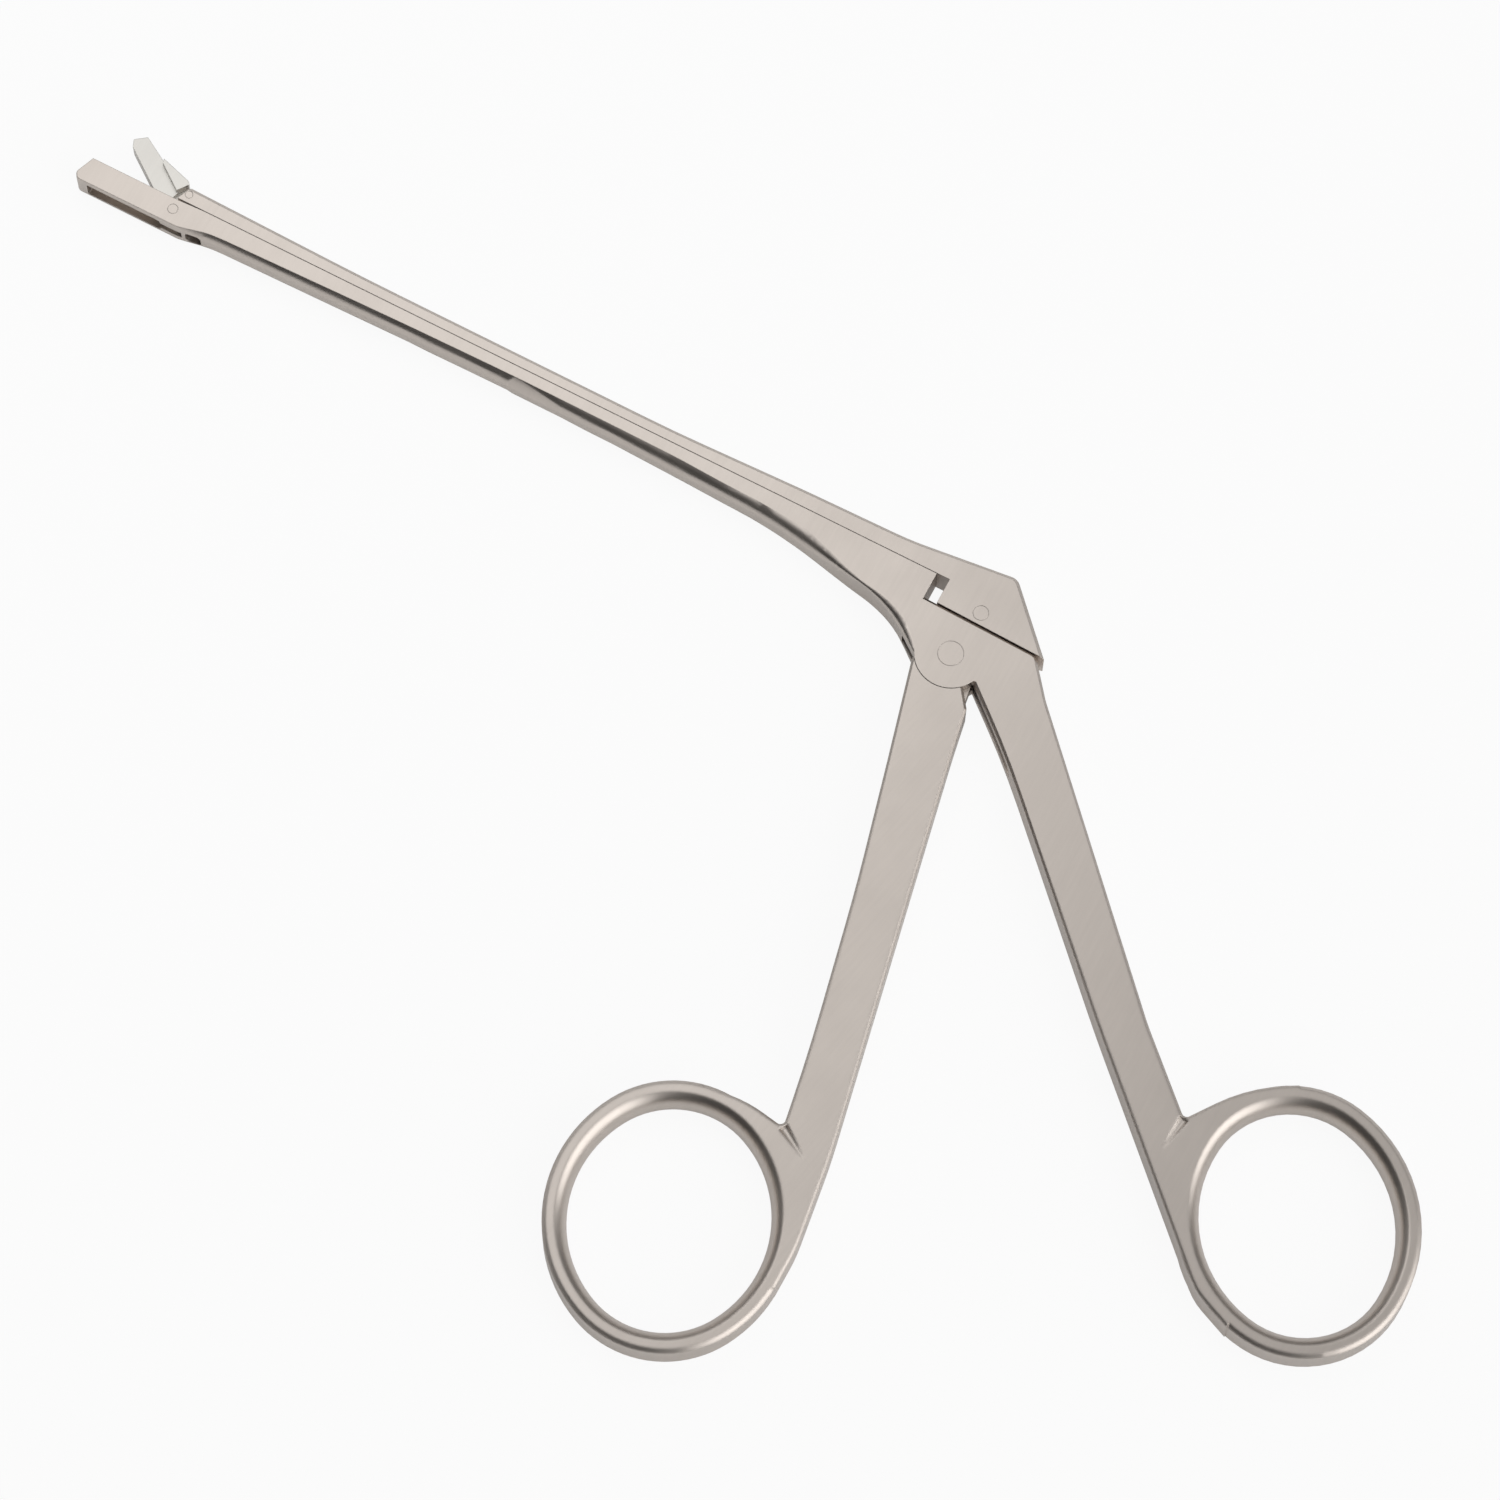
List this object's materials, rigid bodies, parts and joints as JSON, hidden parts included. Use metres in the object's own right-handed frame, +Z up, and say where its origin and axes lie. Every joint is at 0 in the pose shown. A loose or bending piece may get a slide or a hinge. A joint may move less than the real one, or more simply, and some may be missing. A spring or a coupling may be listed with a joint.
{
  "type": "through-cut forceps",
  "caption": "Ring-handled sliding-shaft punch forceps. Closing the rings slides the upper bar forward and turns a narrow blade down through the window of the lower jaw.",
  "frame": {"origin": "on the axis of the main handle pivot, at the flat side that the instrument lies on", "axes": "+X along the shaft from the jaws towards the rear, the handles hang towards -Y, +Z up through the thickness"},
  "size_m": [0.1977, 0.1026, 0.0046],
  "materials": {
    "satin_steel": "fine satin brushed stainless steel",
    "blade_steel": "finely ground stainless steel",
    "pin_steel": "ground flush with the sides"
  },
  "bodies": {
    "lower_half": {"lower_shaft": "satin_steel", "handle_pivot_pin": "pin_steel", "jaw_pivot_pin": "pin_steel"},
    "front_handle": {"front_handle": "satin_steel"},
    "slide": {"upper_slide": "satin_steel", "slide_drive_pin": "pin_steel", "jaw_link_pin": "pin_steel"},
    "jaw": {"upper_jaw": "blade_steel"}
  },
  "joints": [
    {"name": "handle_close", "type": "hinge", "parent": "lower_half", "child": "front_handle", "pos_m": [0, 0, 0], "axis": [0, 0, 1], "range_deg": [0, 15.2]},
    {"name": "slide_forward", "type": "slide", "parent": "lower_half", "child": "slide", "axis": [-1, 0, 0], "range_m": [0, 0.0016]},
    {"name": "jaw_close", "type": "hinge", "parent": "lower_half", "child": "jaw", "pos_m": [-0.1059, 0.0065, 0], "axis": [0, 0, 1], "range_deg": [0, 36]}
  ],
  "couplings": [
    {"joint": "slide_forward", "follows": "handle_close", "m_per_rad": 0.0060354},
    {"joint": "jaw_close", "follows": "handle_close", "ratio": 2.3684}
  ]
}
